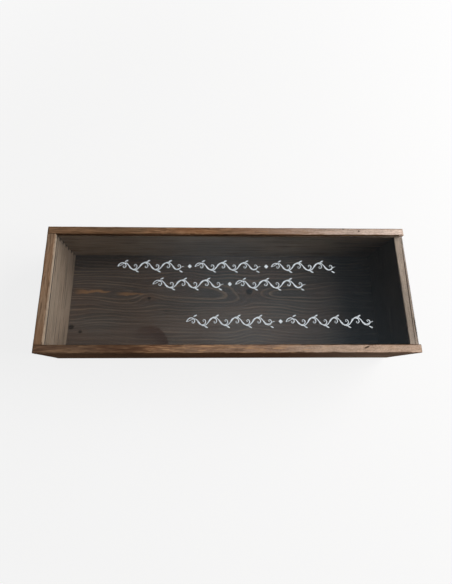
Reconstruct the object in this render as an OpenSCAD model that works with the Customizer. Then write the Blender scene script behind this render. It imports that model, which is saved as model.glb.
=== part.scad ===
// Box for one bottle: four nailed boards on a bottom board, and a clear lid that slides in grooves.
// X runs along the box to the end where the lid leaves it, Y runs across to the back, and Z is up.
// The origin is on the underside, below the middle of the box.

/* [Frame] */
// Length over the side boards
box_length = 380; // [340:1:460]
// Width over both side boards
box_width = 128; // [110:1:180]
// Height of the side boards
side_height = 90; // [80:1:140]
// Thickness of the side boards
side_thickness = 8; // [7:0.5:12]
// Thickness of the end boards
end_thickness = 9; // [8:0.5:12]
// Width of the eased edges of the boards
board_ease = 0.5; // [0.2:0.1:0.8]

/* [Bottom] */
// Thickness of the bottom board
bottom_thickness = 6; // [4:0.5:10]
// Step from the frame's outer faces in to the bottom board's edges
bottom_step = 0.8; // [0:0.1:2]

/* [Lid and grooves] */
// Thickness of the clear lid
lid_thickness = 3; // [2:0.5:4]
// Width of the eased edges of the lid
lid_ease = 0.3; // [0.1:0.1:0.6]
// Height of the lip of wood above the grooves
lip_height = 3.5; // [2.5:0.5:6]
// Depth of the grooves
groove_depth = 4; // [2.5:0.5:5]
// Clearance above the lid in its grooves
lid_play_above = 0.5; // [0.3:0.1:1]
// Clearance between the lid's edges and the bottoms of the grooves
lid_play_beside = 0.5; // [0.3:0.1:1]
// Clearance between the lid and the closed end that stops it
lid_stop_gap = 0.5; // [0.3:0.1:1]
// Step from the side boards' ends in to the lid's end
lid_step = 0.4; // [0:0.1:2]

/* [Nails] */
// Diameter of the nails' shanks
nail_diameter = 1.4; // [1:0.1:1.8]
// Diameter of the nails' heads
nail_head_diameter = 2.6; // [2:0.1:3.4]
// Thickness of the nails' heads
nail_head_height = 0.8; // [0.5:0.1:1.2]
// Length of the nails through a side board into an end board
corner_nail_length = 28; // [20:1:35]
// Length of the nails through the bottom board into the frame
bottom_nail_length = 20; // [16:1:24]
// Depth of the nails' heads below the surface
nail_sink = 0.3; // [0:0.1:0.6]
// Clearance round the nails in the wood
nail_clearance = 0.05; // [0.02:0.01:0.1]
// Number of nails in each corner
corner_nail_count = 3; // [2:1:4]
// Number of nails from the bottom board into each side board
side_nail_count = 5; // [3:1:8]
// Number of nails from the bottom board into each end board
end_nail_count = 2; // [2:1:3]
// Distance from the bottom edge and the groove to the nearest corner nail
corner_nail_margin = 18; // [14:1:24]
// Distance from the end boards' inner faces to the nearest nail in a side board
side_nail_margin = 25; // [15:1:40]
// Spread of the nails in each end board
end_nail_spread = 44; // [30:1:48]

/* [Hidden] */

stain = [0.46, 0.35, 0.27];
dark_stain = [0.22, 0.20, 0.19];
clear_sheet = [0.80, 0.86, 0.90, 0.35];
steel = [0.45, 0.44, 0.43];

inner_length = box_length - 2 * end_thickness;
inner_width = box_width - 2 * side_thickness;
groove_height = lid_thickness + lid_play_above;
ledge_height = side_height - lip_height - groove_height;
ledge_z = bottom_thickness + ledge_height;

// The lid starts at the closed end's inner face and reaches over the lower end board
lid_left_x = -inner_length / 2 + lid_stop_gap;
lid_right_x = box_length / 2 - lid_step;
lid_length = lid_right_x - lid_left_x;
lid_width = inner_width + 2 * (groove_depth - lid_play_beside);

// Nails stand in the middle of each board's thickness
nail_side_y = (box_width - side_thickness) / 2;
nail_end_x = (box_length - end_thickness) / 2;
nail_tip = 2 * nail_diameter;
cut_over = 1;
$fn = 32;

// Evenly spaced places from one value to another
function spread(from, to, count) = [for (i = [0 : count - 1]) from + (to - from) * i / (count - 1)];

corner_nail_heights = spread(
    bottom_thickness + corner_nail_margin, ledge_z - corner_nail_margin, corner_nail_count
);
side_nail_reach = inner_length / 2 - side_nail_margin;
side_nail_xs = spread(-side_nail_reach, side_nail_reach, side_nail_count);
end_nail_ys = spread(-end_nail_spread / 2, end_nail_spread / 2, end_nail_count);

// Rectangle round its own middle, with its corners cut off at 45 degrees
module eased_rectangle(width, height, ease) {
    x = width / 2;
    y = height / 2;
    polygon([
        [ease - x, -y], [x - ease, -y], [x, ease - y], [x, y - ease],
        [x - ease, y], [ease - x, y], [-x, y - ease], [-x, ease - y]
    ]);
}

// Slab standing on z = 0 round the Z axis, with all its edges eased
module eased_slab(length, width, height, ease) {
    intersection() {
        linear_extrude(height) eased_rectangle(length, width, ease);
        translate([0, width / 2, height / 2])
            rotate([90, 0, 0]) linear_extrude(width) eased_rectangle(length, height, ease);
        translate([-length / 2, 0, height / 2])
            rotate([90, 0, 90]) linear_extrude(length) eased_rectangle(width, height, ease);
    }
}

// Side board standing on the bottom board, with its groove open at both ends
module side_board() {
    centre_y = (side_thickness - box_width) / 2;
    difference() {
        translate([0, centre_y, bottom_thickness])
            eased_slab(box_length, side_thickness, side_height, board_ease);
        translate([-box_length / 2 - cut_over, -inner_width / 2 - groove_depth, ledge_z])
            cube([box_length + 2 * cut_over, groove_depth + cut_over, groove_height]);
        nail_holes();
    }
}

// End board between the side boards, butted square against them, with its long edges eased
module end_board(height) {
    translate([-nail_end_x, inner_width / 2, bottom_thickness + height / 2])
        rotate([90, 0, 0]) linear_extrude(inner_width)
            eased_rectangle(end_thickness, height, board_ease);
}

// Outline of half a nail that points down from its head at z = 0, grown by a clearance
module nail_outline(length, grow, mouth) {
    shank = nail_diameter / 2 + grow;
    head = nail_head_diameter / 2 + grow;
    polygon([
        [0, -length - grow], [shank, nail_tip - length], [shank, -nail_head_height - grow],
        [head, -nail_head_height - grow], [head, mouth], [0, mouth]
    ]);
}

// Nail, or the hole that it leaves when grown, with the hole's mouth past the surface
module nail(length, grow = 0, mouth = 0) {
    translate([0, 0, -nail_sink]) rotate_extrude() nail_outline(length, grow, mouth);
}

// Nails through the side boards into the end boards
module corner_nail_set(grow = 0, mouth = 0) {
    for (x = [-nail_end_x, nail_end_x], side = [-1, 1], z = corner_nail_heights)
        translate([x, side * box_width / 2, z])
            rotate([-side * 90, 0, 0]) nail(corner_nail_length, grow, mouth);
}

// Nails through the bottom board into the side boards and end boards
module bottom_nail_set(grow = 0, mouth = 0) {
    for (x = side_nail_xs, y = [-nail_side_y, nail_side_y])
        translate([x, y, 0]) rotate([180, 0, 0]) nail(bottom_nail_length, grow, mouth);
    for (x = [-nail_end_x, nail_end_x], y = end_nail_ys)
        translate([x, y, 0]) rotate([180, 0, 0]) nail(bottom_nail_length, grow, mouth);
}

module nail_holes() {
    corner_nail_set(nail_clearance, cut_over);
    bottom_nail_set(nail_clearance, cut_over);
}

module front_side() {
    color(stain) side_board();
}

module back_side() {
    color(stain) mirror([0, 1, 0]) side_board();
}

// Full-height end board, whose inner face stops the lid
module closed_end() {
    color(stain) difference() {
        end_board(side_height);
        nail_holes();
    }
}

// Lower end board, which ends level with the grooves so that the lid passes over it
module lid_end() {
    color(stain) difference() {
        mirror([1, 0, 0]) end_board(ledge_height);
        nail_holes();
    }
}

module bottom_board() {
    color(dark_stain) difference() {
        eased_slab(box_length - 2 * bottom_step, box_width - 2 * bottom_step, bottom_thickness, board_ease);
        nail_holes();
    }
}

// Clear sheet lying on the ledges of the grooves
module sliding_lid() {
    color(clear_sheet) translate([(lid_left_x + lid_right_x) / 2, 0, ledge_z])
        eased_slab(lid_length, lid_width, lid_thickness, lid_ease);
}

module corner_nails() {
    color(steel) corner_nail_set();
}

module bottom_nails() {
    color(steel) bottom_nail_set();
}

front_side();
back_side();
closed_end();
lid_end();
bottom_board();
sliding_lid();
corner_nails();
bottom_nails();
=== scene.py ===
import math

import bmesh
import bpy
from mathutils import Euler, Matrix, Vector, noise


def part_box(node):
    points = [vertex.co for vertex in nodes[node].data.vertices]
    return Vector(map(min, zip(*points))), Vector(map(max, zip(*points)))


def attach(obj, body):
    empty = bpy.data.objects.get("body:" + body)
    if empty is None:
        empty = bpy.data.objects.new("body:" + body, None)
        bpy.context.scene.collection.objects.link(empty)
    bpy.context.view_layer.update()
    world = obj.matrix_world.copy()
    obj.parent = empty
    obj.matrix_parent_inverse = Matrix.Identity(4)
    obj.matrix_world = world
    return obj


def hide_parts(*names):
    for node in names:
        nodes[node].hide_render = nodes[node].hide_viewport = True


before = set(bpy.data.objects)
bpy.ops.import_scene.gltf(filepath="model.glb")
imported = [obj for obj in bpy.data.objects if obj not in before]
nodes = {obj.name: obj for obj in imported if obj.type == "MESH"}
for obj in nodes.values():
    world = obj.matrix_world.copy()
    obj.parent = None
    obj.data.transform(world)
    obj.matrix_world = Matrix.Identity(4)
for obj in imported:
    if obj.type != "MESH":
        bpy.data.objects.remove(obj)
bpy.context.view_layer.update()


# helpers for node trees

def screen(red, green, blue):
    # a colour as it looks on a screen, 0 to 255, made linear for the shaders
    parts = [v / 255 for v in (red, green, blue)]
    return (*[v / 12.92 if v < 0.04 else ((v + 0.055) / 1.055) ** 2.4 for v in parts], 1)


class Wiring:
    # short calls for adding linked nodes to one tree
    def __init__(self, tree):
        self.tree = tree

    def feed(self, socket, value):
        if isinstance(value, bpy.types.NodeSocket):
            self.tree.links.new(value, socket)
        else:
            socket.default_value = value

    def add(self, kind, values=(), out=0, **settings):
        node = self.tree.nodes.new("ShaderNode" + kind)
        for name, setting in settings.items():
            setattr(node, name, setting)
        pairs = values.items() if isinstance(values, dict) else enumerate(values)
        for key, value in pairs:
            self.feed(node.inputs[key], value)
        return node.outputs[out]

    def calc(self, operation, *values):
        return self.add("Math", values, operation=operation)

    def product(self, first, *others):
        for value in others:
            first = self.calc("MULTIPLY", first, value)
        return first

    def span(self, mask, away, on):
        # away where the mask is 0, on where it is 1
        return self.calc("MULTIPLY_ADD", mask, on - away, away)

    def vector(self, operation, *values):
        out = "Value" if operation in ("LENGTH", "DOT_PRODUCT", "DISTANCE") else "Vector"
        return self.add("VectorMath", values, out=out, operation=operation)

    def split(self, vector):
        node = self.tree.nodes.new("ShaderNodeSeparateXYZ")
        self.feed(node.inputs[0], vector)
        return node.outputs

    def join(self, x, y, z):
        return self.add("CombineXYZ", (x, y, z))

    def noise(self, vector, scale, detail=2.0, roughness=0.5, out="Fac"):
        values = {"Vector": vector, "Scale": scale, "Detail": detail, "Roughness": roughness}
        return self.add("TexNoise", values, out=out)

    def ramp(self, value, low, high, start=0.0, end=1.0):
        # smooth step from start to end while value goes from low to high
        values = {"Value": value, "From Min": low, "From Max": high, "To Min": start, "To Max": end}
        return self.add("MapRange", values, interpolation_type="SMOOTHSTEP")

    def hump(self, value, begin, full, wane, end, height=1.0):
        # rises from begin to full, falls from wane to end
        return self.product(self.ramp(value, begin, full), self.ramp(value, wane, end, height, 0.0))

    def blend(self, factor, first, second, kind="MIX"):
        return self.add("Mix", {0: factor, 6: first, 7: second}, out=2, data_type="RGBA", blend_type=kind)

    def over(self, base, colour, *masks):
        # one more stain on the base, as strong as the masks multiplied
        return self.blend(self.product(*masks), base, colour)

    def shaded(self, base, shade):
        return self.blend(1.0, base, self.join(shade, shade, shade), "MULTIPLY")

    def feedShader(self, shader, colour, roughness, relief, strength, depth):
        # what varies over a surface; strength and depth are those of the bump
        self.feed(shader.inputs["Base Color"], colour)
        self.feed(shader.inputs["Roughness"], roughness)
        bump = self.add("Bump", {"Strength": strength, "Distance": depth, "Height": relief})
        self.feed(shader.inputs["Normal"], bump)


def newGroup(name, inputs, outputs):
    tree = bpy.data.node_groups.new(name, "ShaderNodeTree")
    for label, value in inputs.items():
        kind = "NodeSocketFloat" if isinstance(value, float) else "NodeSocketVector"
        tree.interface.new_socket(label, in_out="INPUT", socket_type=kind).default_value = value
    for label in outputs:
        tree.interface.new_socket(label, in_out="OUTPUT", socket_type="NodeSocketFloat")
    entry = tree.nodes.new("NodeGroupInput")
    leave = tree.nodes.new("NodeGroupOutput")
    return tree, Wiring(tree), entry.outputs, leave.inputs


def useGroup(wiring, tree, values):
    node = wiring.tree.nodes.new("ShaderNodeGroup")
    node.node_tree = tree
    for label, value in values.items():
        wiring.feed(node.inputs[label], value)
    return node.outputs


def newMaterial(name, **fixed):
    # a Principled material; fixed holds the settings that are even all over it
    material = bpy.data.materials.new(name)
    material.use_nodes = True
    tree = material.node_tree
    shader = tree.nodes["Principled BSDF"]
    for label, value in fixed.items():
        shader.inputs[label.replace("_", " ")].default_value = value
    return material, Wiring(tree), shader


# shader groups that several finishes share

ringShape = {
    "bend": 24.0,            # scale of the noise that bends the log, and of the one that ruffles each ring
    "ruffle": 130.0,
    "ruffleShare": 0.12,
    "end": 0.93,             # where the dark late wood of a ring stops
}


def makeRingGroup(shape):
    # growth rings of a board sawn from a log that lies along X, cut wherever the surface is;
    # Tilt and Bow make the log rise towards the surface, which draws pointed figures there
    tree, w, inp, out = newGroup(
        "growthRings",
        {"Vector": (0.0, 0.0, 0.0), "Heart": (0.0, 0.0, 0.0), "Tilt": 0.0, "Bow": 0.0, "Spacing": 0.003,
         "Wander": 0.004, "Lift": 0.004, "Wave": 0.16, "Warp": 0.0, "Late Share": 0.35},
        ("Late", "Tone"))
    x, y, z = w.split(w.vector("SUBTRACT", inp["Vector"], inp["Heart"]))
    stretched = w.vector("MULTIPLY", inp["Vector"], w.join(inp["Wave"], 1.0, 1.0))
    bend = w.noise(stretched, shape["bend"], 1.0, out="Color")
    ruffle = w.noise(stretched, shape["ruffle"], 2.0)
    swayX, swayY, swayZ = w.split(w.vector("SUBTRACT", bend, (0.5, 0.5, 0.5)))
    depth = w.calc("MULTIPLY_ADD", x, inp["Tilt"], z)
    depth = w.calc("SUBTRACT", depth, w.product(inp["Bow"], x, x))
    depth = w.calc("MULTIPLY_ADD", swayZ, w.product(inp["Lift"], 2.0), depth)
    side = w.calc("MULTIPLY_ADD", swayY, w.product(inp["Wander"], 2.0), y)
    radius = w.calc("ADD", w.vector("LENGTH", w.join(side, depth, 0.0)), inp["Warp"])
    uneven = w.product(inp["Wander"], shape["ruffleShare"])
    radius = w.calc("MULTIPLY_ADD", w.calc("SUBTRACT", ruffle, 0.5), uneven, radius)
    turns = w.calc("DIVIDE", radius, inp["Spacing"])
    part = w.calc("FRACT", turns)
    rise = w.ramp(part, w.calc("SUBTRACT", shape["end"], inp["Late Share"]), shape["end"])
    w.feed(out["Late"], w.product(rise, w.ramp(part, shape["end"], 1.0, 1.0, 0.0)))
    w.feed(out["Tone"], w.add("TexWhiteNoise", {"W": w.calc("FLOOR", turns)}, noise_dimensions="1D"))
    return tree


fibreShape = {
    "streaks": {             # squeeze along the fibre, scale, detail and shift of each kind
        "Streak": (0.028, 420.0, 2.0, (0.0, 0.0, 0.0)),
        "Dark Streak": (0.03, 640.0, 2.0, (2.3, 4.1, 1.7)),
        "Light Streak": (0.028, 860.0, 2.0, (5.9, 0.7, 3.1)),
        "Fibre": (0.02, 1900.0, 2.0, (0.0, 0.0, 0.0)),
        "Pores": (0.05, 2300.0, 1.0, (0.0, 0.0, 0.0)),
    },
    "pores": (0.66, 0.74),
}


def makeFibreGroup(shape):
    # fine streaks and open pores that run along X
    tree, w, inp, out = newGroup(
        "woodFibre", {"Vector": (0.0, 0.0, 0.0), "Length": 1.0}, tuple(shape["streaks"]))
    for label, (squeeze, scale, detail, shift) in shape["streaks"].items():
        along = w.join(w.calc("DIVIDE", squeeze, inp["Length"]), 1.0, 1.0)
        vector = w.vector("ADD", w.vector("MULTIPLY", inp["Vector"], along), shift)
        value = w.noise(vector, scale, detail, 0.6)
        w.feed(out[label], w.ramp(value, *shape["pores"]) if label == "Pores" else value)
    return tree


knotShape = {
    "uneven": 160.0,         # scale of its ragged outline
    "deep": 0.25,            # below 1 it reaches further: down into the board here, then along it
    "swellAlong": 0.45,
    "coreAlong": 0.8,
    "swellReach": 2.2,       # in sizes of the knot
    "coreRagged": (-0.35, 0.35),
    "coreEdge": (0.5, 1.0, 1.0, 0.0),
    "haloReach": 2.4,
    "haloRagged": (-0.3, 0.3),
    "haloEdge": (0.3, 1.0, 1.0, 0.0),
}


def makeKnotGroup(shape):
    # a knot: Warp swells the rings round it, Core is the knot and Halo the stained wood round it
    tree, w, inp, out = newGroup(
        "knot", {"Vector": (0.0, 0.0, 0.0), "Centre": (0.0, 0.0, 0.0), "Size": 0.005, "Swell": 0.006},
        ("Warp", "Core", "Halo"))
    offset = w.vector("SUBTRACT", inp["Vector"], inp["Centre"])
    ragged = w.noise(inp["Vector"], shape["uneven"], 2.0)

    def reach(squeeze, size):
        distance = w.vector("LENGTH", w.vector("MULTIPLY", offset, (squeeze, 1.0, shape["deep"])))
        return w.calc("DIVIDE", distance, size)
    near = reach(shape["swellAlong"], w.product(inp["Size"], shape["swellReach"]))
    w.feed(out["Warp"], w.product(inp["Swell"], w.calc("EXPONENT", w.product(near, near, -1.0))))
    core = w.calc("ADD", reach(shape["coreAlong"], inp["Size"]), w.span(ragged, *shape["coreRagged"]))
    w.feed(out["Core"], w.ramp(core, *shape["coreEdge"]))
    halo = reach(shape["swellAlong"], w.product(inp["Size"], shape["haloReach"]))
    halo = w.calc("ADD", halo, w.span(ragged, *shape["haloRagged"]))
    w.feed(out["Halo"], w.ramp(halo, *shape["haloEdge"]))
    return tree


flameShape = {
    "uneven": 260.0,         # scale and height of its ragged outline
    "ragged": 0.006,
    "spread": 0.7,           # how quickly the patch widens behind its tip
    "thinnest": 0.00005,
    "side": (0.45, 1.0, 1.0, 0.0),
    "tail": (0.7, 1.05, 1.0, 0.0),
}


def makeFlameGroup(shape):
    # a pointed patch of light late wood, its tip towards +X
    tree, w, inp, out = newGroup(
        "flameFigure",
        {"Vector": (0.0, 0.0, 0.0), "Tip": (0.0, 0.0, 0.0), "Length": 0.03, "Half Width": 0.003},
        ("Flame",))
    ragged = w.noise(w.vector("MULTIPLY", inp["Vector"], (0.3, 1.0, 1.0)), shape["uneven"], 2.0)
    x, y, z = w.split(w.vector("SUBTRACT", inp["Vector"], inp["Tip"]))
    back = w.calc("DIVIDE", w.product(x, -1.0), inp["Length"])
    bend = w.calc("MULTIPLY_ADD", w.calc("SUBTRACT", ragged, 0.5), shape["ragged"], y)
    half = w.product(inp["Half Width"], w.calc("POWER", w.calc("MAXIMUM", back, 0.0), shape["spread"]))
    share = w.calc("DIVIDE", w.calc("ABSOLUTE", bend), w.calc("MAXIMUM", half, shape["thinnest"]))
    inFront = w.calc("GREATER_THAN", back, 0.0)
    w.feed(out["Flame"], w.product(w.ramp(share, *shape["side"]), w.ramp(back, *shape["tail"]), inFront))
    return tree


edgeShape = {"uneven": 420.0, "width": (0.3, 0.7, 0.35, 1.4)}


def makeEdgeGroup(shape):
    # 1 along the edges of the box from Low to High, where two of its faces are near
    tree, w, inp, out = newGroup(
        "edgeStainAndShade",
        {"Vector": (0.0, 0.0, 0.0), "Low": (0.0, 0.0, 0.0), "High": (1.0, 1.0, 1.0), "Width": 0.0015},
        ("Edge",))
    low = w.vector("SUBTRACT", inp["Vector"], inp["Low"])
    high = w.vector("SUBTRACT", inp["High"], inp["Vector"])
    x, y, z = w.split(w.vector("MINIMUM", low, high))
    second = w.calc("MAXIMUM", w.calc("MINIMUM", x, y), w.calc("MINIMUM", w.calc("MAXIMUM", x, y), z))
    ragged = w.noise(w.vector("MULTIPLY", inp["Vector"], (0.5, 0.5, 0.5)), shape["uneven"], 3.0, 0.6)
    width = w.product(inp["Width"], w.ramp(ragged, *shape["width"]))
    w.feed(out["Edge"], w.ramp(second, 0.0, width, 1.0, 0.0))
    return tree


blotchShape = {
    "along": (0.45, 1.0, 1.0),
    "first": (0.32, 0.68),
    "second": (0.34, 0.66),
    "secondScale": 2.3,      # times as fine as the first, and shifted away from it
    "shift": (3.7, 1.9, 5.3),
}


def makeBlotchGroup(shape):
    # slow unevenness of a wiped-on stain or of handling
    tree, w, inp, out = newGroup(
        "stainBlotch", {"Vector": (0.0, 0.0, 0.0), "Scale": 18.0}, ("Blotch", "Second"))
    along = w.vector("MULTIPLY", inp["Vector"], shape["along"])
    w.feed(out["Blotch"], w.ramp(w.noise(along, inp["Scale"], 3.0, 0.55), *shape["first"]))
    finer = w.product(inp["Scale"], shape["secondScale"])
    second = w.noise(w.vector("ADD", along, shape["shift"]), finer, 3.0, 0.6)
    w.feed(out["Second"], w.ramp(second, *shape["second"]))
    return tree


spotShape = {"uneven": 900.0, "ragged": 0.5, "edge": (0.85, 1.35, 1.0, 0.0)}


def makeSpotGroup(shape):
    # a small dark mark: a pin hole, a speck of resin or a splinter that has gone
    tree, w, inp, out = newGroup(
        "spot", {"Vector": (0.0, 0.0, 0.0), "Centre": (0.0, 0.0, 0.0), "Size": 0.001, "Turn": 0.0, "Long": 1.0},
        ("Spot",))
    offset = w.vector("SUBTRACT", inp["Vector"], inp["Centre"])
    turned = w.add("VectorRotate", {"Vector": offset, "Angle": inp["Turn"]}, rotation_type="Z_AXIS")
    squeezed = w.vector("DIVIDE", turned, w.join(inp["Long"], 1.0, 1.0))
    reach = w.calc("DIVIDE", w.vector("LENGTH", squeezed), inp["Size"])
    ragged = w.noise(inp["Vector"], shape["uneven"], 2.0)
    w.feed(out["Spot"], w.ramp(w.calc("MULTIPLY_ADD", ragged, shape["ragged"], reach), *shape["edge"]))
    return tree


ringGroup = makeRingGroup(ringShape)
fibreGroup = makeFibreGroup(fibreShape)
knotGroup = makeKnotGroup(knotShape)
flameGroup = makeFlameGroup(flameShape)
edgeGroup = makeEdgeGroup(edgeShape)
blotchGroup = makeBlotchGroup(blotchShape)
spotGroup = makeSpotGroup(spotShape)
print("shader groups built")


def coat(piece, material):
    piece.data.materials.clear()
    piece.data.materials.append(material)


# boards with worn arrises, in place of the plain ones

wearLook = {
    "ease": 0.0005,          # width of the plain boards' eased edges
    "step": 0.005,           # distance between the places where the wear changes
    "shortest": 0.02,        # a board is not cut across a side shorter than this
    "least": 0.00005,        # wear beyond the eased edge, from and to
    "most": 0.0006,
    "patches": 55.0,         # worn patches to the metre, how finely they break up, and how much they differ
    "fractal": (0.6, 2.0, 3),
    "swing": 0.9,
    "middle": 0.42,
    "lowerHalf": 0.05,       # edges below this height are worn less
    "lowerShare": 0.4,
    "corner": 0.0011,        # more wear on the upright outer corners
    "tipShare": 0.45,        # share of that at the tops of the corners
    "round": 0.00018,        # bevels along the edges and up the corners
    "cornerRound": 0.0009,
    "merge": 0.000001,       # what counts as the same corner, as flat, as on a face and as on an eased edge
    "flat": 0.01,
    "onFace": 0.00001,
    "onEase": 0.00002,
    "sharp": 0.5,            # edges that turn by more than this are rounded, in radians
    "upright": 0.001,
    "weld": 0.000004,
    "nicks": (               # place, depth and width
        (0.1385, -0.0565, 0.096, 0.0010, 0.0022), (-0.121, -0.0635, 0.096, 0.0006, 0.0030),
        (0.052, 0.0635, 0.096, 0.0006, 0.0026), (-0.1895, 0.018, 0.096, 0.0007, 0.0030),
    ),
}


def wearAt(place, look):
    # how far the wear reaches here beyond the eased edge
    value = noise.fractal(place * look["patches"], *look["fractal"]) * look["swing"] + look["middle"]
    wear = look["least"] + (look["most"] - look["least"]) * min(1.0, max(0.0, value))
    for x, y, z, deep, wide in look["nicks"]:
        wear += deep * math.exp(-(((place - Vector((x, y, z))).length / wide) ** 2))
    return wear


def wornBoard(node, stays, look=wearLook):
    # a merged copy of the node, cut into short lengths, whose eased edges then vary in width
    low, high = [Vector(corner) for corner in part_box(node)]
    bm = bmesh.new()
    bm.from_mesh(nodes[node].data)
    bmesh.ops.remove_doubles(bm, verts=bm.verts, dist=look["merge"])
    bmesh.ops.dissolve_limit(bm, angle_limit=look["flat"], verts=bm.verts, edges=bm.edges)
    for axis in range(3):
        length = high[axis] - low[axis]
        if length < look["shortest"]:
            continue
        normal = Vector((axis == 0, axis == 1, axis == 2))
        count = round(length / look["step"])
        for i in range(1, count):
            cut = low + normal * (length * i / count)
            geom = bm.verts[:] + bm.edges[:] + bm.faces[:]
            bmesh.ops.bisect_plane(bm, geom=geom, plane_co=cut, plane_no=normal)
    moves = {}
    for vert in bm.verts:
        near = [min(vert.co[k] - low[k], high[k] - vert.co[k]) for k in range(3)]
        onFace = [k for k in range(3) if near[k] < look["onFace"]]
        atEase = [k for k in range(3) if abs(near[k] - look["ease"]) < look["onEase"]]
        if len(onFace) != 1 or not atEase or any(stays(vert.co, onFace[0], side) for side in atEase):
            continue
        wear = wearAt(vert.co, look)
        if vert.co.z < look["lowerHalf"] and onFace + atEase not in ([0, 1], [1, 0]):
            wear *= look["lowerShare"]
        shift = Vector()
        for side in atEase:
            inward = 1 if vert.co[side] - low[side] < high[side] - vert.co[side] else -1
            more = 0.0
            if {onFace[0], side} == {0, 1}:
                more = look["corner"]
            elif len(atEase) == 2 and onFace[0] == 2:
                more = look["corner"] * look["tipShare"]
            shift[side] = inward * (wear + more)
        moves[vert] = shift
    for vert, shift in moves.items():
        vert.co += shift
    edges, corners = [], []
    for edge in bm.edges:
        first, second = edge.verts
        if first not in moves or second not in moves or len(edge.link_faces) != 2:
            continue
        if edge.calc_face_angle() > look["sharp"]:
            upright = abs(first.co.z - second.co.z) > look["upright"]
            (corners if upright else edges).append(edge)
    for lines, width, segments in ((edges, look["round"], 1), (corners, look["cornerRound"], 3)):
        lines = [edge for edge in lines if edge.is_valid]
        bmesh.ops.bevel(bm, geom=lines, affect="EDGES", offset=width, offset_type="OFFSET", segments=segments,
                        profile=0.5, material=-1, clamp_overlap=True)
    bmesh.ops.dissolve_degenerate(bm, dist=look["weld"], edges=bm.edges)
    mesh = bpy.data.meshes.new(node + "Worn")
    bm.to_mesh(mesh)
    bm.free()
    piece = bpy.data.objects.new(node + "Worn", mesh)
    bpy.context.collection.objects.link(piece)
    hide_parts(node)
    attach(piece, "box")
    return piece


jointY = 0.0575              # a little beyond the inner faces of the side boards


def sideJoint(place, face, side):
    # the inner upright edges of a side board stay sharp, where the end boards butt
    return {face, side} == {0, 1} and abs(place.y) < jointY


def endJoint(place, face, side):
    # an end board keeps the edges that butt against the side boards
    return 1 in (face, side)


boards = {
    "front_side": wornBoard("front_side", sideJoint),
    "back_side": wornBoard("back_side", sideJoint),
    "closed_end": wornBoard("closed_end", endJoint),
    "lid_end": wornBoard("lid_end", endJoint),
}
print("boards worn at their edges")


# stained boards

# how each kind of board lies in its log: length, width and thickness as the rows
sideGrain = Matrix(((1, 0, 0), (0, 0, 1), (0, -1, 0))).to_euler()
endGrain = Matrix(((0, 1, 0), (0, 0, 1), (1, 0, 0))).to_euler()
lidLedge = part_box("sliding_lid")[0][2]

# four numbers are a ramp, from where to where and from what to what; two are one half of that
sideBoardLook = {
    "early": screen(104, 82, 62),
    "late": screen(158, 127, 98),
    "red": screen(144, 92, 58),
    "grey": screen(92, 80, 68),
    "warm": screen(138, 96, 66),
    # painted sheen and light on the tops, stronger towards the lid end
    "paintedSheen": screen(204, 179, 163),
    # the paler stain of the inner faces, with painted light and shade that differ from board to board
    "insideStainAndShade": screen(100, 88, 76),
    # painted shade on the lip above the lid, which faces away from the light
    "lip": screen(58, 40, 29),
    # darker arrises: stain and painted shade
    "arrisStainAndShade": screen(58, 44, 35),
    "endGrain": screen(61, 48, 40),
    # painted shade on the outside faces
    "outer": screen(68, 47, 37),
    "dark": screen(48, 34, 25),
    "grain": sideGrain,
    "spacing": 0.0032,       # of the growth rings
    "ringWander": 0.007,
    "ringLift": 0.005,
    "ringWave": 0.3,
    "lateWidth": 0.45,       # part of a ring that is late wood, and how dark it is, from and to
    "lateShare": (0.45, 0.95),
    "topRings": 0.6,
    "fibreLength": (1.3, 0.35),                  # on the upright faces and on top
    "streak": (0.46, 0.62, 0.0, 0.38),
    "warmX": (-0.092, -0.076, 0.04, 0.12),       # where it begins, is full, wanes and ends
    "warmShare": 0.45,
    "redShare": 0.4,
    "greyBlotch": (0.5, 1.0, 0.0, 0.45),
    "topFacing": (0.3, 0.8),
    "sheenFacing": (0.72, 0.97),
    "sheenX": (-0.11, 0.225),
    "sheenStreak": (0.38, 0.62, 0.86, 1.0),
    "speckleScale": 1100.0,  # of the grit that breaks up the painted sheen
    "speckle": (0.4, 0.54, 0.68, 1.0),
    "insideFacing": (0.55, 0.9),
    "insideTint": 0.75,
    "insideStreak": 1.0,     # shares of the streaks that are left on each part
    "topStreak": 0.75,
    "streakUnderSheen": 0.25,
    "outsideFacing": (-0.9, -0.5),
    "outerX": (-0.15, -0.09),
    "outerShare": (0.3, 0.64),
    "outerStreak": 0.6,
    # painted light on the outside faces towards the lid end
    "outsideSheenX": (0.05, 0.19),
    "outsideSheen": 0.2,
    "slowScale": 38.0,       # of the patches where the streaks are weaker or stronger
    "slow": (0.36, 0.62, 0.35, 1.1),
    "darkStreak": (0.5, 0.64, 0.0, 0.62),
    "lightStreak": (0.54, 0.66, 0.0, 0.55),
    "blotchShade": (0.85, 1.15),
    "fibreShade": (0.3, 0.7, 0.84, 1.14),
    "sawnFacing": (0.3, 0.7),
    "sawnEnds": 0.8,         # how dark the end grain takes the stain
    "arrisShare": 0.5,
    "arrisWidth": 0.0012,
    "poreShare": 0.55,
    "gloss": 0.0,
    "roughness": (0.66, 0.58),                   # of early and late wood
    "poreRoughness": 0.25,
    "fibreRelief": 0.5,
    "lateRelief": 0.5,
    "poreRelief": -0.9,
    "bump": 0.5,
    "bumpDepth": 0.00025,
    "spotShare": 0.85,
    "spots": (),             # centre, size, turn and how many times longer than wide
}
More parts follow.
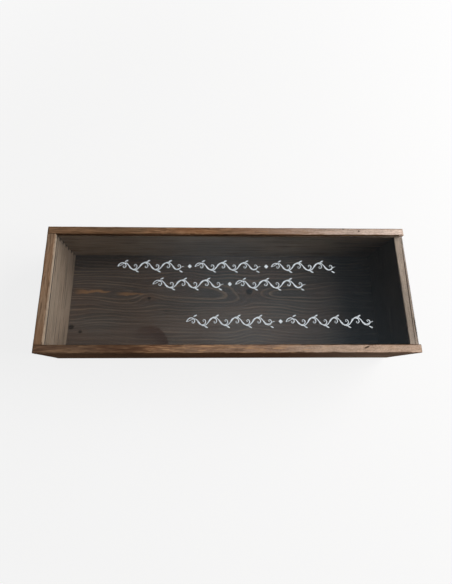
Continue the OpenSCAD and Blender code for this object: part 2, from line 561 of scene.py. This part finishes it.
frontLook = {
    **sideBoardLook,
    "early": screen(104, 82, 67),
    "late": screen(146, 117, 92),
    "red": screen(132, 91, 64),
    "paintedSheen": screen(209, 183, 163),
    "seed": (0.31, 0.02, 0.0),
    "inward": (0.0, 1.0, 0.0),
    "heart": (0.02, 0.046, 0.031),
    "tilt": 0.05,
    "railShadowX": (-0.135, -0.118, -0.086, -0.076, 0.4),   # a painted cast shadow over a length, as warmX, and how dark
    "railShadowBelow": 0.15,      # how much of the painted shadow shows on the upright faces
    "fleck": screen(206, 162, 120),
    "fleckStreak": (0.52, 0.61, 0.0, 0.52),
    "fleckAway": 0.2,        # how many of the flecks lie where the stain is not warm
    "arrisShare": 0.12,
    "spots": (((0.1352, -0.0587, 0.096), 0.0009, -0.36, 4.2),),
}
backLook = {
    **sideBoardLook,
    "early": screen(119, 95, 73),
    "paintedSheen": screen(255, 233, 219),
    "insideStainAndShade": screen(174, 157, 139),
    "seed": (-0.47, 0.11, 0.03),
    "inward": (0.0, -1.0, 0.0),
    "heart": (-0.04, 0.058, -0.028),
    "tilt": 0.06,
    "sheenX": (-0.03, 0.228),
    "insideShadowX": (0.07, 0.17, 0.0, 0.8),        # painted shadow of the lid end, darker towards it
    "fleck": screen(188, 146, 110),
    "fleckStreak": (0.52, 0.61, 0.0, 0.4),
    "fleckAway": 0.2,
    "arrisShare": 0.3,
    "spots": (((0.1415, 0.0607, 0.096), 0.0011, 0.0, 1.0), ((0.1246, 0.0633, 0.096), 0.0009, 0.0, 1.6)),
}
closedEndLook = {
    **sideBoardLook,
    "early": screen(142, 115, 91),
    "late": screen(175, 147, 122),
    "red": screen(160, 108, 72),
    "grey": screen(118, 104, 88),
    "insideStainAndShade": screen(167, 150, 135),
    # a lighter lip: painted light, where it faces the light
    "lip": screen(196, 179, 160),
    "grain": endGrain,
    "seed": (0.9, 0.4, 0.01),
    "inward": (1.0, 0.0, 0.0),
    "heart": (0.01, 0.060, -0.150),
    "tilt": 0.08,
    "insideTint": 0.8,
    "outerShare": (0.62, 0.62),
    "sawnEnds": 0.0,
    "gloss": 0.04,
    "seam": screen(20, 15, 12),
    "seamAt": 0.0560,        # the inner face of the back board
    "seamEdge": (-0.0003, 0.0004),
    "seamTeeth": 505.0,      # 2 pi over the height of one tooth of the dirt, in metres
    "seamTooth": (0.3, 0.7, 0.0, 0.0030),
    "seamScale": 150.0,
    "seamSwing": (-0.8, 0.8),
    "seamRagged": 0.0005,
}
lidEndLook = {
    **sideBoardLook,
    "early": screen(149, 133, 121),
    "late": screen(196, 180, 166),
    "grey": screen(112, 99, 88),
    "paintedSheen": screen(194, 178, 165),
    # a darker inside and lip: painted shade, where this inner face stands in shade
    "insideStainAndShade": screen(78, 72, 68),
    "lip": screen(56, 51, 47),
    "grain": endGrain,
    "seed": (0.2, -0.7, 0.05),
    "inward": (-1.0, 0.0, 0.0),
    "heart": (-0.01, 0.040, 0.152),
    "tilt": -0.08,
    "sheenX": (-0.2, 0.0),
    "insideTint": 0.95,
    "insideStreak": 0.15,
    "topStreak": 0.45,
    "outerShare": (0.55, 0.55),
    "outerStreak": 0.3,
    "outsideSheen": 0.0,
    "sawnEnds": 0.0,
    "gloss": 0.04,
    "spots": (((0.18795, 0.0, 0.089), 0.0006, -math.pi / 2 + 0.017, 120.0),
              ((0.1893, -0.038, 0.089), 0.0007, -math.pi / 2, 16.0)),
}


def paintedSheenOnTop(w, place, normal, streak, look):
    # how strong the painted sheen and light on the top are here, and the same broken up by its speckle
    x, y, z = w.split(place)
    flat = w.ramp(w.split(normal)[2], *look["sheenFacing"])
    sheenShare = w.product(flat, w.ramp(x, *look["sheenX"]))
    grit = w.noise(w.vector("MULTIPLY", place, (0.6, 1.0, 1.0)), look["speckleScale"], 2.0, 0.6)
    return sheenShare, w.product(sheenShare, w.ramp(grit, *look["speckle"]), w.ramp(streak, *look["sheenStreak"]))


def seamDirt(w, place, look):
    # dirt and small gaps up the corner at the back
    x, y, z = w.split(place)
    ragged = w.noise(place, look["seamScale"], 2.0, 0.6)
    wave = w.calc("SINE", w.calc("MULTIPLY", z, look["seamTeeth"]))
    tooth = w.ramp(w.calc("ADD", wave, w.span(ragged, *look["seamSwing"])), *look["seamTooth"])
    reach = w.calc("MULTIPLY_ADD", ragged, look["seamRagged"], tooth)
    reach = w.calc("ADD", reach, w.calc("SUBTRACT", w.calc("ABSOLUTE", y), look["seamAt"]))
    return w.product(w.ramp(reach, *look["seamEdge"]), w.calc("GREATER_THAN", y, 0.0))


def stainedBoard(name, node, look):
    material, w, shader = newMaterial(name, Specular_IOR_Level=look["gloss"])
    place = w.add("TexCoord", out="Object")
    normal = w.add("TexCoord", out="Normal")
    x, y, z = w.split(place)
    low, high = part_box(node)
    top = w.ramp(w.split(normal)[2], *look["topFacing"])
    across = w.vector("DOT_PRODUCT", normal, look["inward"])
    facing = w.ramp(across, *look["insideFacing"], 0.0, look["insideTint"])
    outside = w.ramp(across, *look["outsideFacing"], 1.0, 0.0)
    inLog = w.add("Mapping", {"Vector": place, "Rotation": look["grain"]})
    grainWay = w.vector("ADD", inLog, look["seed"])
    rings = useGroup(w, ringGroup, {
        "Vector": inLog, "Heart": look["heart"], "Tilt": look["tilt"], "Spacing": look["spacing"],
        "Wander": look["ringWander"], "Lift": look["ringLift"], "Wave": look["ringWave"],
        "Late Share": look["lateWidth"]})
    fibre = useGroup(w, fibreGroup, {"Vector": grainWay, "Length": w.span(top, *look["fibreLength"])})
    blotch = useGroup(w, blotchGroup, {"Vector": grainWay})
    edge = useGroup(w, edgeGroup, {
        "Vector": place, "Low": tuple(low), "High": tuple(high), "Width": look["arrisWidth"]})

    # the stained wood and the painted sheen and light on its top
    tone = w.ramp(rings["Tone"], 0.0, 1.0, *look["lateShare"])
    base = w.over(look["early"], look["late"], rings["Late"], tone, w.span(top, 1.0, look["topRings"]))
    warm = w.hump(x, *look["warmX"])
    base = w.over(base, look["warm"], warm, look["warmShare"])
    base = w.over(base, look["late"], w.ramp(fibre["Streak"], *look["streak"]))
    base = w.over(base, look["red"], blotch["Second"], look["redShare"])
    base = w.over(base, look["grey"], w.ramp(blotch["Blotch"], *look["greyBlotch"]))
    sheenShare, speckledSheen = paintedSheenOnTop(w, place, normal, fibre["Streak"], look)
    # painted sheen and light on the top
    base = w.over(base, look["paintedSheen"], speckledSheen)

    # the inside, with the lip above the lid, and the outside, all with painted light and shade
    aboveLid = w.ramp(z, lidLedge - 0.001, lidLedge)
    base = w.over(base, w.blend(aboveLid, look["insideStainAndShade"], look["lip"]), facing)
    # painted shadow of the lid end on the inner face
    if "insideShadowX" in look:
        base = w.over(base, look["dark"], facing, w.ramp(x, *look["insideShadowX"]))
    # painted shade on the outside faces
    base = w.over(base, look["outer"], outside, w.ramp(x, *look["outerX"], *look["outerShare"]))
    # painted light on the outside faces towards the lid end
    base = w.over(base, look["paintedSheen"], outside, w.ramp(x, *look["outsideSheenX"], 0.0, look["outsideSheen"]))
    # a painted cast shadow across a length of the front board
    if "railShadowX" in look:
        base = w.over(base, look["outer"], w.hump(x, *look["railShadowX"]), w.span(top, look["railShadowBelow"], 1.0))

    # streaks, weaker on some faces and in slow patches
    slow = w.ramp(w.noise(grainWay, look["slowScale"], 1.0), *look["slow"])
    plain = w.product(
        w.span(facing, 1.0, look["insideStreak"]), w.span(top, 1.0, look["topStreak"]),
        w.span(sheenShare, 1.0, look["streakUnderSheen"]), slow, w.span(outside, 1.0, look["outerStreak"]))
    base = w.over(base, look["dark"], plain, w.ramp(fibre["Dark Streak"], *look["darkStreak"]))
    base = w.over(base, look["late"], plain, w.ramp(fibre["Light Streak"], *look["lightStreak"]))
    if "fleck" in look:      # short golden flecks on top, most of them where the stain is warm
        flecks = w.ramp(fibre["Light Streak"], *look["fleckStreak"])
        base = w.over(base, look["fleck"], top, flecks, w.span(warm, look["fleckAway"], 1.0))
    uneven = w.span(blotch["Blotch"], *look["blotchShade"])
    base = w.shaded(base, w.product(uneven, w.ramp(fibre["Fibre"], *look["fibreShade"])))

    # end grain, arrises with stain and painted shade, pores and marks
    if look["sawnEnds"]:
        sawn = w.ramp(w.calc("ABSOLUTE", w.split(normal)[0]), *look["sawnFacing"], 0.0, look["sawnEnds"])
        base = w.over(base, look["endGrain"], sawn)
    # darker arrises: stain and painted shade
    base = w.over(base, look["arrisStainAndShade"], edge["Edge"], look["arrisShare"])
    base = w.over(base, look["dark"], fibre["Pores"], look["poreShare"])
    if "seam" in look:
        base = w.over(base, look["seam"], seamDirt(w, place, look), facing)
    for centre, size, turn, long in look["spots"]:
        spot = useGroup(w, spotGroup, {"Vector": place, "Centre": centre, "Size": size, "Turn": turn, "Long": long})
        base = w.over(base, look["dark"], spot["Spot"], look["spotShare"])

    rough = w.calc("MULTIPLY_ADD", fibre["Pores"], look["poreRoughness"], w.span(rings["Late"], *look["roughness"]))
    relief = w.calc("MULTIPLY_ADD", fibre["Fibre"], look["fibreRelief"], w.product(rings["Late"], look["lateRelief"]))
    relief = w.calc("MULTIPLY_ADD", fibre["Pores"], look["poreRelief"], relief)
    w.feedShader(shader, base, rough, relief, look["bump"], look["bumpDepth"])
    return material


for node, name, look in (
    ("front_side", "frontSideStain", frontLook), ("back_side", "backSideStain", backLook),
    ("closed_end", "closedEndStain", closedEndLook), ("lid_end", "lidEndStain", lidEndLook),
):
    coat(boards[node], stainedBoard(name, node, look))


bottomLook = {
    "early": screen(88, 80, 75),
    "late": screen(148, 125, 104),
    "red": screen(104, 80, 66),
    "flame": screen(154, 115, 82),
    "dark": screen(32, 27, 24),
    "castShadowColour": screen(66, 38, 31),
    "heart": (0.01, 0.011, -0.0025),
    "bow": 0.24,
    "spacing": 0.0033,
    "ringWander": 0.011,
    "ringLift": 0.003,
    "ringWave": 0.5,
    "lateWidth": 0.4,
    "lateShare": (0.25, 0.9),
    "lateStreak": (0.35, 0.6, 0.6, 1.0),
    "lateX": (0.07, 0.16, 1.0, 0.4),             # fainter towards the lower end, which paints shade there, and towards the front
    "lateY": (-0.034, 0.006, 0.5, 1.0),
    "blotchScale": 14.0,
    "redShare": 0.35,
    "haloShare": 0.5,
    "flameShare": 0.8,
    "darkShare": 0.8,        # of the knots and specks
    "poreShare": 0.4,
    "blotchShade": (0.85, 1.1),
    "streakShade": (0.3, 0.7, 0.85, 1.15),
    "litFrontX": (0.03, 0.1, 1.0, 0.15),             # painted light: lighter along the front, less so at the lower end
    "litFrontY": (-0.05, 0.01, 0.38, 0.0),
    "knots": (((-0.089, 0.004, 0.006), 0.0026, 0.004), ((0.031, 0.012, 0.006), 0.0042, 0.009)),
    "flames": (((-0.1345, 0.012, 0.006), 0.045, 0.0042), ((-0.090, 0.009, 0.006), 0.040, 0.0025)),
    "specks": (((-0.178, -0.0295, 0.006), 0.0028), ((-0.167, -0.035, 0.006), 0.0019),
               ((-0.0686, -0.011, 0.006), 0.0010)),
    "speckLong": 1.4,
    "cornerShadowX": (-0.12, -0.07, 0.45, 0.0),        # the painted shadow in the back corner, then a painted cast shadow with a rounded edge
    "cornerShadowY": (0.034, 0.047),
    "castShadowMiddle": (-0.088, -0.052, 0.006),
    "castShadowReach": 0.0235,
    "castShadowX": (-0.118, -0.078),
    "castShadowScale": 90.0,
    "castShadowUneven": (-0.06, 0.06),
    "castShadowEdge": (0.97, 1.04, 1.0, 0.0),
    "castShadowShare": (0.2, 0.95, 0.25, 0.6),
    "gloss": 0.3,
    "roughness": (0.6, 0.5),
    "fibreRelief": 0.5,
    "lateRelief": 0.5,
    "bump": 0.5,
    "bumpDepth": 0.00025,
}


def bottomStain(look):
    material, w, shader = newMaterial("bottomStain", Specular_IOR_Level=look["gloss"])
    place = w.add("TexCoord", out="Object")
    x, y, z = w.split(place)
    fibre = useGroup(w, fibreGroup, {"Vector": place})
    blotch = useGroup(w, blotchGroup, {"Vector": place, "Scale": look["blotchScale"]})
    warp, core, halo, flame, speck = 0.0, 0.0, 0.0, 0.0, 0.0
    for centre, size, swell in look["knots"]:
        knot = useGroup(w, knotGroup, {"Vector": place, "Centre": centre, "Size": size, "Swell": swell})
        warp = w.calc("ADD", knot["Warp"], warp)
        core = w.calc("MAXIMUM", knot["Core"], core)
        halo = w.calc("MAXIMUM", knot["Halo"], halo)
    for tip, length, half in look["flames"]:
        figure = useGroup(w, flameGroup, {"Vector": place, "Tip": tip, "Length": length, "Half Width": half})
        flame = w.calc("MAXIMUM", figure["Flame"], flame)
    for centre, size in look["specks"]:
        spot = useGroup(w, spotGroup, {
            "Vector": place, "Centre": centre, "Size": size, "Long": look["speckLong"]})
        speck = w.calc("MAXIMUM", spot["Spot"], speck)
    rings = useGroup(w, ringGroup, {
        "Vector": place, "Heart": look["heart"], "Bow": look["bow"], "Spacing": look["spacing"],
        "Wander": look["ringWander"], "Lift": look["ringLift"], "Wave": look["ringWave"], "Warp": warp,
        "Late Share": look["lateWidth"]})

    lines = w.product(
        rings["Late"], w.ramp(rings["Tone"], 0.0, 1.0, *look["lateShare"]),
        w.ramp(fibre["Light Streak"], *look["lateStreak"]), w.ramp(x, *look["lateX"]), w.ramp(y, *look["lateY"]))
    base = w.over(look["early"], look["late"], lines)
    base = w.over(base, look["red"], blotch["Second"], look["redShare"])
    base = w.over(base, look["red"], halo, look["haloShare"])
    base = w.over(base, look["flame"], flame, look["flameShare"])
    base = w.over(base, look["dark"], w.calc("MAXIMUM", core, speck), look["darkShare"])
    # painted light along the front of the bottom
    litFront = w.calc("ADD", w.product(w.ramp(x, *look["litFrontX"]), w.ramp(y, *look["litFrontY"])), 1.0)
    uneven = w.span(blotch["Blotch"], *look["blotchShade"])
    base = w.shaded(base, w.product(uneven, w.ramp(fibre["Streak"], *look["streakShade"]), litFront))
    base = w.over(base, look["dark"], fibre["Pores"], look["poreShare"])

    # painted shadow in the back corner along the back wall, and a painted cast shadow with a rounded edge
    base = w.over(base, look["dark"], w.ramp(x, *look["cornerShadowX"]), w.ramp(y, *look["cornerShadowY"]))
    away = w.calc("DIVIDE", w.vector("DISTANCE", place, look["castShadowMiddle"]), look["castShadowReach"])
    away = w.calc("ADD", away, w.span(w.noise(place, look["castShadowScale"], 2.0), *look["castShadowUneven"]))
    castShadow = w.product(w.ramp(away, *look["castShadowEdge"]), w.ramp(x, *look["castShadowX"]), w.ramp(away, *look["castShadowShare"]))
    base = w.over(base, look["castShadowColour"], castShadow)

    rough = w.span(rings["Late"], *look["roughness"])
    relief = w.calc("MULTIPLY_ADD", fibre["Fibre"], look["fibreRelief"], w.product(rings["Late"], look["lateRelief"]))
    w.feedShader(shader, base, rough, relief, look["bump"], look["bumpDepth"])
    return material


coat(nodes["bottom_board"], bottomStain(bottomLook))
print("boards stained")


# clear lid

lidLook = {
    "tint": (0.97, 0.985, 0.985, 1.0),
    "index": 1.49,
    "roughness": 0.02,
    "smudge": 0.05,
    "smudgeScale": 9.0,
    "sawnEdge": (0.2, 0.6, 0.8, 0.0),            # rough on the upright edges only
}


def clearLid(look):
    material, w, shader = newMaterial("clearLid", Base_Color=look["tint"], Transmission_Weight=1.0, IOR=look["index"])
    place = w.add("TexCoord", out="Object")
    normal = w.add("TexCoord", out="Normal")
    blotch = useGroup(w, blotchGroup, {"Vector": place, "Scale": look["smudgeScale"]})
    rough = w.calc("MULTIPLY_ADD", blotch["Second"], look["smudge"], look["roughness"])
    sawn = w.ramp(w.calc("ABSOLUTE", w.split(normal)[2]), *look["sawnEdge"])
    w.feed(shader.inputs["Roughness"], w.calc("ADD", rough, sawn))
    clear = w.add("BsdfTransparent", {"Color": look["tint"]})
    shadowRay = w.add("LightPath", out="Is Shadow Ray")
    mixed = w.add("MixShader", (shadowRay, shader.outputs[0], clear))
    w.feed(material.node_tree.nodes["Material Output"].inputs["Surface"], mixed)
    return material


coat(nodes["sliding_lid"], clearLid(lidLook))


# frosted scrollwork on the lid

scrollLook = {
    "colour": screen(230, 239, 246),
    "gloss": 0.3,
    "roughness": 0.55,
    "grainScale": 2600.0,
    "grainShade": (0.3, 0.7, 0.9, 1.05),
    "grainRoughness": 0.15,
    "unevenScale": 120.0,
    "unevenShade": (0.3, 0.7, 0.92, 1.04),
    "bump": 0.4,
    "bumpDepth": 0.00005,
    "stroke": 0.0005,        # half the width of the stem, and the share of it at the tips
    "tip": 0.45,
    "thickness": 0.00010,
    "amplitude": 0.0042,     # height of the stem's waves
    "taper": 8,              # the stem tapers over one part in so many at each end
    "stemPoints": 24,        # to each wave
    "volutePoints": 26,
    "voluteTurn": 2.75,      # in half turns
    "voluteEye": 0.00055,
    "voluteCurl": 2.9,
    "voluteDrop": 0.0004,
    "voluteEnd": 1.35,
    "leafPoints": 8,
    "leafStart": (0.0008, 0.0002),               # along and across from the top of a wave
    "leafReach": (0.0036, 0.0019),
    "leafCurve": 0.8,
    "leafWidth": (0.25, 1.15),
    "lozenge": (0.0022, 0.0012),                 # half width and thickness
    "rows": (                # start and end along X, middle line across, waves
        ((-0.114, -0.046, 0.0225, 3), (-0.034, 0.034, 0.0225, 3), (0.046, 0.113, 0.0225, 3)),
        ((-0.077, -0.005, 0.0040, 3), (0.008, 0.080, 0.0040, 3)),
        ((-0.042, 0.046, -0.0335, 4), (0.058, 0.146, -0.0335, 4)),
    ),
}


def shares(count):
    return [i / count for i in range(count + 1)]


def stemPoint(t, start, end, middle, waves, look):
    taper = min(1.0, look["taper"] * t, look["taper"] * (1 - t))
    rise = look["amplitude"] * taper * math.sin(2 * math.pi * waves * t)
    return start + t * (end - start), middle + rise, look["tip"] + (1 - look["tip"]) * taper


def volutePoint(t, x, y, side, size, look):
    angle = math.pi * (1 - look["voluteTurn"] * t)
    radius = look["voluteEye"] + size * (1 - t) ** look["voluteCurl"]
    width = 0.5 + 0.5 * math.sin(math.pi * min(1, 0.35 + t))
    return x + radius * math.cos(angle), y + side * radius * math.sin(angle), width


def leafPoint(t, x, middle, side, look):
    out = look["amplitude"] + look["leafStart"][1] + look["leafReach"][1] * t ** look["leafCurve"]
    least, more = look["leafWidth"]
    width = least + more * math.sin(math.pi * t) ** look["leafCurve"]
    return x + look["leafStart"][0] + look["leafReach"][0] * t, middle + side * out, width


def scrollStrokes(start, end, middle, waves, look):
    # a running vine: one waved stem, a volute under each wave and a leaf on its outside
    pitch = (end - start) / waves
    strokes = [[stemPoint(t, start, end, middle, waves, look) for t in shares(waves * look["stemPoints"])]]
    for half in range(waves * 2):
        side = 1 if half % 2 == 0 else -1
        x = start + (half + 0.5) * pitch / 2
        y = middle - look["voluteDrop"] * side
        volute = [volutePoint(t, x, y, side, pitch / 4, look) for t in shares(look["volutePoints"])]
        volute[-1] = (*volute[-1][:2], look["voluteEnd"])
        strokes.append(volute)
        strokes.append([leafPoint(t, x, middle, side, look) for t in shares(look["leafPoints"])])
    return strokes


def strokeMesh(look):
    # the strokes of every row as one mesh, and the places between two runs
    curve = bpy.data.curves.new("scrollStrokes", "CURVE")
    curve.dimensions = "3D"
    curve.bevel_depth = look["stroke"]
    curve.bevel_resolution = 1
    curve.use_fill_caps = True
    middles = []
    for row in look["rows"]:
        for start, end, middle, waves in row:
            for points in scrollStrokes(start, end, middle, waves, look):
                spline = curve.splines.new("POLY")
                spline.points.add(len(points) - 1)
                for point, (x, y, width) in zip(spline.points, points):
                    point.co = (x, y, 0.0, 1.0)
                    point.radius = width
        for (_, left, middle, _), (right, _, _, _) in zip(row, row[1:]):
            middles.append(((left + right) / 2, middle))
    holder = bpy.data.objects.new("scrollStrokes", curve)
    bpy.context.collection.objects.link(holder)
    mesh = bpy.data.meshes.new_from_object(holder.evaluated_get(bpy.context.evaluated_depsgraph_get()))
    bpy.data.objects.remove(holder)
    return mesh, middles


def frostedMark(look):
    material, w, shader = newMaterial("frostedMark", Specular_IOR_Level=look["gloss"])
    place = w.add("TexCoord", out="Object")
    grain = w.noise(place, look["grainScale"], 2.0, 0.6)
    uneven = w.ramp(w.noise(place, look["unevenScale"], 2.0), *look["unevenShade"])
    colour = w.shaded(look["colour"], w.product(w.ramp(grain, *look["grainShade"]), uneven))
    rough = w.calc("MULTIPLY_ADD", grain, look["grainRoughness"], look["roughness"])
    w.feedShader(shader, colour, rough, grain, look["bump"], look["bumpDepth"])
    return material


def makeScrollwork(look):
    mesh, middles = strokeMesh(look)
    half, thick = look["lozenge"]
    bm = bmesh.new()
    bm.from_mesh(mesh)
    for x, y in middles:
        made = bmesh.ops.create_cone(bm, segments=4, radius1=half, radius2=half, depth=thick, cap_ends=True)
        bmesh.ops.translate(bm, verts=made["verts"], vec=(x, y, 0))
    bmesh.ops.recalc_face_normals(bm, faces=bm.faces)
    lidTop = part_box("sliding_lid")[1][2]
    bmesh.ops.scale(bm, verts=bm.verts, vec=(1, 1, look["thickness"] / look["stroke"]))
    bmesh.ops.translate(bm, verts=bm.verts, vec=(0, 0, lidTop))
    bm.to_mesh(mesh)
    bm.free()
    mesh.name = "frostedScrolls"
    piece = bpy.data.objects.new("frostedScrolls", mesh)
    coat(piece, frostedMark(look))
    bpy.context.collection.objects.link(piece)
    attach(piece, "lid")      # frosted, so it takes its finish from none of the record's slots


makeScrollwork(scrollLook)
print("lid and scrollwork finished")


# nails

nailLook = {
    "bright": screen(120, 116, 112),
    "rust": screen(78, 52, 38),
    "rustScale": 900.0,
    "rustEdge": (0.45, 0.62),
    "metal": 0.9,
    "roughness": (0.42, 0.77),                   # of bright and of rusty steel
}


def nailSteel(look):
    material, w, shader = newMaterial("nailSteel", Metallic=look["metal"])
    place = w.add("TexCoord", out="Object")
    rusty = w.ramp(w.noise(place, look["rustScale"], 3.0, 0.6), *look["rustEdge"])
    w.feed(shader.inputs["Base Color"], w.blend(rusty, look["bright"], look["rust"]))
    w.feed(shader.inputs["Roughness"], w.span(rusty, *look["roughness"]))
    return material


steel = nailSteel(nailLook)
coat(nodes["corner_nails"], steel)
coat(nodes["bottom_nails"], steel)
print("nails finished")


# floor, lights and camera

white = (1.0, 1.0, 1.0, 1.0)

stageLook = {
    "floorSize": 6.0,
    "below": 0.0002,         # gap between the floor and the box
    "floorColour": (0.82, 0.82, 0.82, 1.0),
    "roughness": 0.9,
    "whiteFrom": (0.3, 1.0, 0.82, 1.0),          # share of plain white in the floor, by distance
}


def makeFloor(look):
    bm = bmesh.new()
    bmesh.ops.create_grid(bm, x_segments=1, y_segments=1, size=look["floorSize"])
    bmesh.ops.translate(bm, verts=bm.verts, vec=(0, 0, -look["below"]))
    mesh = bpy.data.meshes.new("floor")
    bm.to_mesh(mesh)
    bm.free()
    floor = bpy.data.objects.new("floor", mesh)
    bpy.context.collection.objects.link(floor)
    material, w, shader = newMaterial("paleFloor", Base_Color=look["floorColour"], Roughness=look["roughness"])
    away = w.ramp(w.vector("LENGTH", w.add("TexCoord", out="Object")), *look["whiteFrom"])
    path = w.tree.nodes.new("ShaderNodeLightPath").outputs
    seen = w.calc("MAXIMUM", path["Is Glossy Ray"], path["Is Transmission Ray"])
    seen = w.calc("MAXIMUM", path["Is Camera Ray"], seen)
    bright = w.add("Emission", {"Color": white, "Strength": 1.0})
    mixed = w.add("MixShader", (w.product(away, seen), shader.outputs[0], bright))
    w.feed(material.node_tree.nodes["Material Output"].inputs["Surface"], mixed)
    coat(floor, material)


roomLook = {
    "colour": (0.95, 0.97, 1.0, 1.0),
    "fill": 0.2,
    "wallTop": (0.35, 0.7),
    "ceiling": 0.085,
    "ceilingColour": (0.86, 0.98, 1.08, 1.0),
    "glow": 0.29,            # what the lid mirrors of the bright part of the ceiling
    "glowColour": (0.74, 0.98, 1.16, 1.0),
    "glowAcross": (-0.1, 0.16, 0.2, 0.7),        # where it begins, is full, wanes and ends
    "glowLean": (0.3, 0.95),                     # how much its two sides lean
    "lowest": 0.05,          # keeps the slopes finite near the horizon
}


def makeWorld(look):
    # white all round, with a dim ceiling for what the lid mirrors
    world = bpy.data.worlds.new("studio")
    bpy.context.scene.world = world
    world.use_nodes = True
    w = Wiring(world.node_tree)
    path = w.tree.nodes.new("ShaderNodeLightPath").outputs
    x, y, z = w.split(w.add("TexCoord", out="Generated"))
    height = w.calc("MAXIMUM", z, look["lowest"])
    start, full, wane, end = look["glowAcross"]
    near, far = [w.calc("DIVIDE", w.calc("MULTIPLY_ADD", y, lean, x), height) for lean in look["glowLean"]]
    glow = w.product(w.ramp(near, start, full), w.ramp(far, wane, end, 1.0, 0.0))
    above = w.ramp(z, *look["wallTop"])
    overhead = w.blend(glow, look["ceilingColour"], look["glowColour"])
    ceiling = w.product(w.span(glow, look["ceiling"], look["ceiling"] + look["glow"]), above)
    strength = w.calc("ADD", ceiling, w.span(above, 1.0, 0.0))
    room = w.add("Background", {"Color": look["colour"], "Strength": look["fill"]})
    mirrored = w.add("Background", {"Color": w.blend(above, white, overhead), "Strength": strength})
    plain = w.add("Background", {"Color": white, "Strength": 1.0})
    mirrorRay = w.calc("MAXIMUM", path["Is Glossy Ray"], path["Is Transmission Ray"])
    mixed = w.add("MixShader", (mirrorRay, room, mirrored))
    mixed = w.add("MixShader", (path["Is Camera Ray"], mixed, plain))
    w.feed(w.tree.nodes["World Output"].inputs["Surface"], mixed)


windowLook = {
    "place": (0.98, 0.22, 0.80),
    "aim": (0.0, 0.0, 0.05),
    "size": 1.1,
    "power": 18.3,
    "colour": (1.0, 0.97, 0.94),
}


def areaLight(name, look):
    lamp = bpy.data.lights.new(name, "AREA")
    lamp.size = look["size"]
    lamp.energy, lamp.color = look["power"], look["colour"]
    light = bpy.data.objects.new(name, lamp)
    light.location = look["place"]
    light.rotation_euler = (Vector(look["aim"]) - Vector(look["place"])).to_track_quat("-Z", "Y").to_euler()
    light.visible_glossy = False      # the lid mirrors the room, not the lamp
    light.visible_transmission = False
    bpy.context.collection.objects.link(light)


cameraLook = {
    "place": (-0.03326, -0.09219, 0.57102),
    "turn": (0.37608, -0.03346, -0.00391),
    "lens": 28.809,
    "sensor": 36.0,
    "shift": (0.02397, -0.15753),
    "clip": (0.01, 50.0),
}


def makeCamera(look):
    data = bpy.data.cameras.new("camera")
    data.lens, data.sensor_width = look["lens"], look["sensor"]
    data.shift_x, data.shift_y = look["shift"]
    data.clip_start, data.clip_end = look["clip"]
    camera = bpy.data.objects.new("camera", data)
    camera.location = look["place"]
    camera.rotation_euler = Euler(look["turn"])
    bpy.context.collection.objects.link(camera)
    bpy.context.scene.camera = camera


makeFloor(stageLook)
makeWorld(roomLook)
areaLight("window", windowLook)
makeCamera(cameraLook)

bpy.context.scene.view_settings.view_transform = "Standard"
print("stage, lights and camera set")
